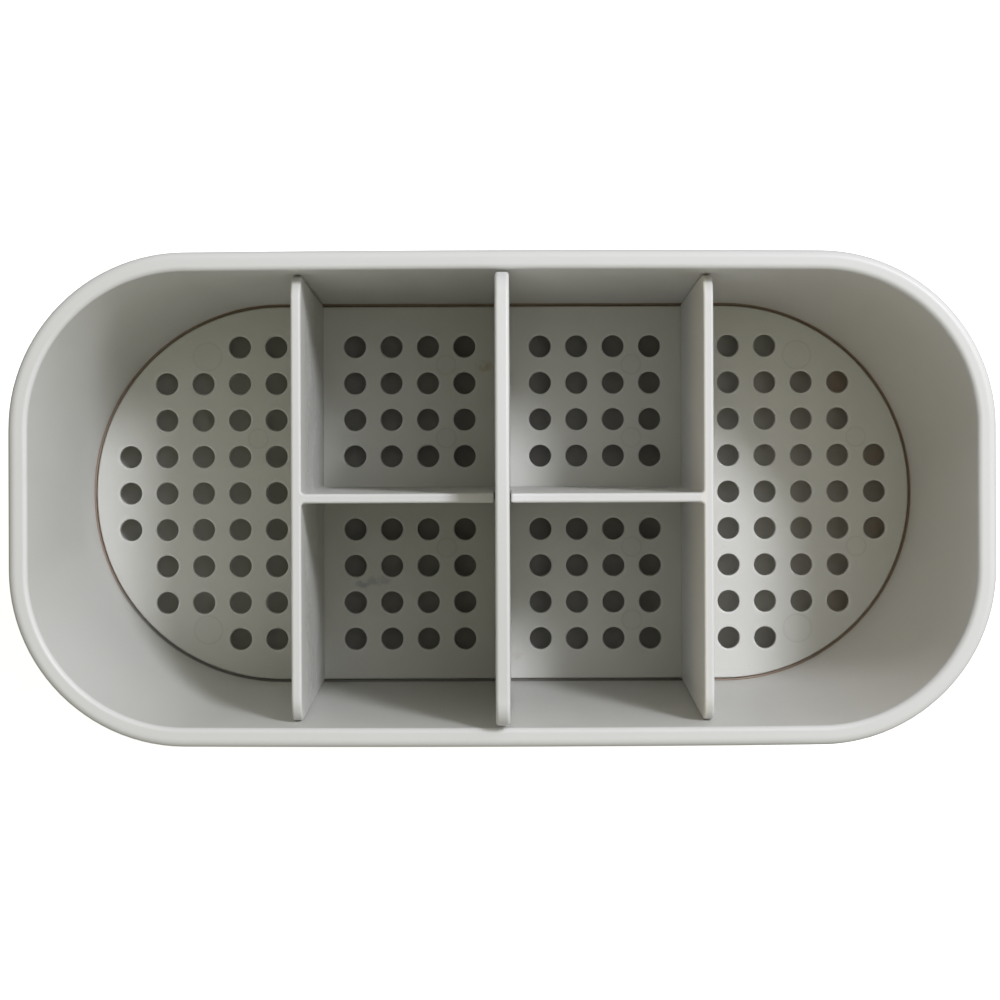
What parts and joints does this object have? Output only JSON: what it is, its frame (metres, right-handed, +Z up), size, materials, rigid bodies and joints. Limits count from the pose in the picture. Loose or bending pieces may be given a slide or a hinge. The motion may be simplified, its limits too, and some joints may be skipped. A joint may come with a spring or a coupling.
{
  "type": "bathroom caddy",
  "caption": "Oblong bathroom caddy with a rolled rim, a lift-out perforated drain tray on legs, an H-shaped divider frame and an arched centre divider.",
  "frame": {"origin": "middle of the footprint, on the surface that the feet stand on", "axes": "+X along the caddy, +Y across it towards the back, +Z up out of the mouth"},
  "size_m": [0.3012, 0.1516, 0.1343],
  "materials": {
    "shell_plastic": "satin warm-grey moulded plastic with a fine grain",
    "tray_plastic": "satin warm-grey moulded plastic, faint ejector marks",
    "divider_plastic": "satin warm-grey moulded plastic with a fine grain",
    "foot_rubber": "matte grey rubber"
  },
  "bodies": {
    "caddy": {"caddy_body": "shell_plastic", "foot_front_left": "foot_rubber", "foot_front_right": "foot_rubber", "foot_rear_left": "foot_rubber", "foot_rear_right": "foot_rubber"},
    "tray": {"drain_tray": "tray_plastic"},
    "frame": {"divider_frame": "divider_plastic"},
    "centre": {"centre_divider": "divider_plastic"}
  },
  "joints": [
    {"name": "tray_lift", "type": "slide", "parent": "caddy", "child": "tray", "axis": [0, 0, 1], "range_m": [0, 0.12]},
    {"name": "frame_lift", "type": "slide", "parent": "tray", "child": "frame", "axis": [0, 0, 1], "range_m": [0, 0.105]},
    {"name": "centre_lift", "type": "slide", "parent": "frame", "child": "centre", "axis": [0, 0, 1], "range_m": [0, 0.105]}
  ]
}
